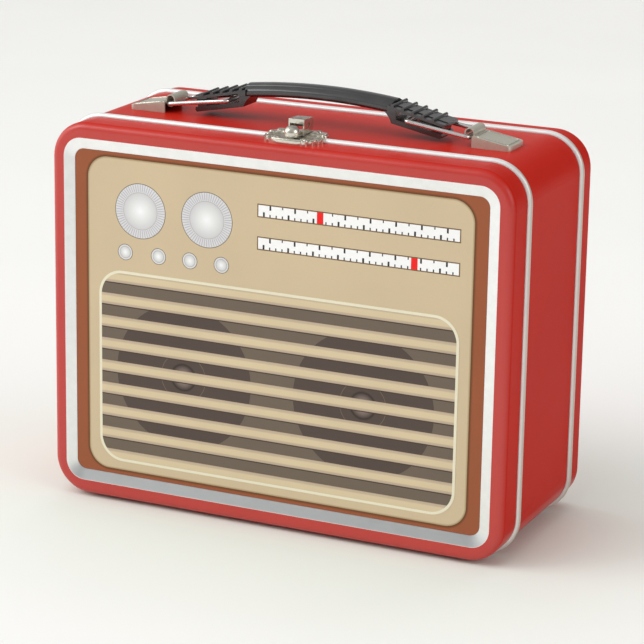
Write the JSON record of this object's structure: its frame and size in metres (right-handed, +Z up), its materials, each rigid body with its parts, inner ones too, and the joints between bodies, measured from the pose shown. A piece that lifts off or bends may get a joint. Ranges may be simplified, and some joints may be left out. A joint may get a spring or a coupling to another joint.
{
  "type": "metal lunch box",
  "caption": "Hinged tin lunch box with a printed front panel in a bright frame, rolled rims, an ornate top latch and a lifting black handle on wire bails.",
  "frame": {"origin": "centre of the case's footprint, on the surface that the rolled rims stand on", "axes": "+X to the right seen from the front, +Y to the back, +Z up"},
  "size_m": [0.215, 0.0926, 0.1857],
  "materials": {
    "red_lacquer": "semi-gloss",
    "bare_tin": "satin",
    "printed_panel": "semi-gloss print",
    "nickel": "polished nickel plate",
    "hinge_steel": "dull plated",
    "wire_steel": "bright wire",
    "handle_plastic": "moulded satin"
  },
  "bodies": {
    "body": {"body_band": "red_lacquer", "back_pan": "red_lacquer", "rim_front": "bare_tin", "rim_back": "bare_tin", "bracket_left": "nickel", "bracket_right": "nickel", "latch_base": "nickel", "latch_rivets_base": "nickel", "latch_pin": "wire_steel", "hinge_body_leaf_left": "hinge_steel", "hinge_body_leaf_right": "hinge_steel", "hinge_pin_left": "wire_steel", "hinge_pin_right": "wire_steel", "hinge_rivets_body": "hinge_steel"},
    "lid": {"lid_pan": "red_lacquer", "front_frame": "bare_tin", "print_panel": "printed_panel", "latch_keeper": "nickel", "latch_rivets_keeper": "nickel", "hinge_lid_leaf_left": "hinge_steel", "hinge_lid_leaf_right": "hinge_steel", "hinge_rivets_lid": "hinge_steel"},
    "hasp": {"latch_hasp": "nickel"},
    "bail_left_body": {"bail_left": "wire_steel"},
    "bail_right_body": {"bail_right": "wire_steel"},
    "handle_body": {"handle": "handle_plastic"}
  },
  "joints": [
    {"name": "lid_hinge", "type": "hinge", "parent": "body", "child": "lid", "pos_m": [0, -0.02965, 0.0015], "axis": [1, 0, 0], "range_deg": [0, 110]},
    {"name": "hasp_hinge", "type": "hinge", "parent": "body", "child": "hasp", "pos_m": [0.0025, -0.0264, 0.1736], "axis": [-1, 0, 0], "range_deg": [0, 50]},
    {"name": "handle_lift", "type": "slide", "parent": "body", "child": "handle_body", "axis": [0, 0, 1], "range_m": [0, 0.015]},
    {"name": "bail_left_hinge", "type": "hinge", "parent": "body", "child": "bail_left_body", "pos_m": [-0.0687, -0.002, 0.172], "axis": [0, -1, 0], "range_deg": [0, 32]},
    {"name": "bail_right_hinge", "type": "hinge", "parent": "body", "child": "bail_right_body", "pos_m": [0.0707, -0.002, 0.172], "axis": [0, 1, 0], "range_deg": [0, 32]}
  ],
  "couplings": [
    {"joint": "bail_left_hinge", "follows": "handle_lift", "rad_per_m": 37},
    {"joint": "bail_right_hinge", "follows": "handle_lift", "rad_per_m": 37}
  ]
}
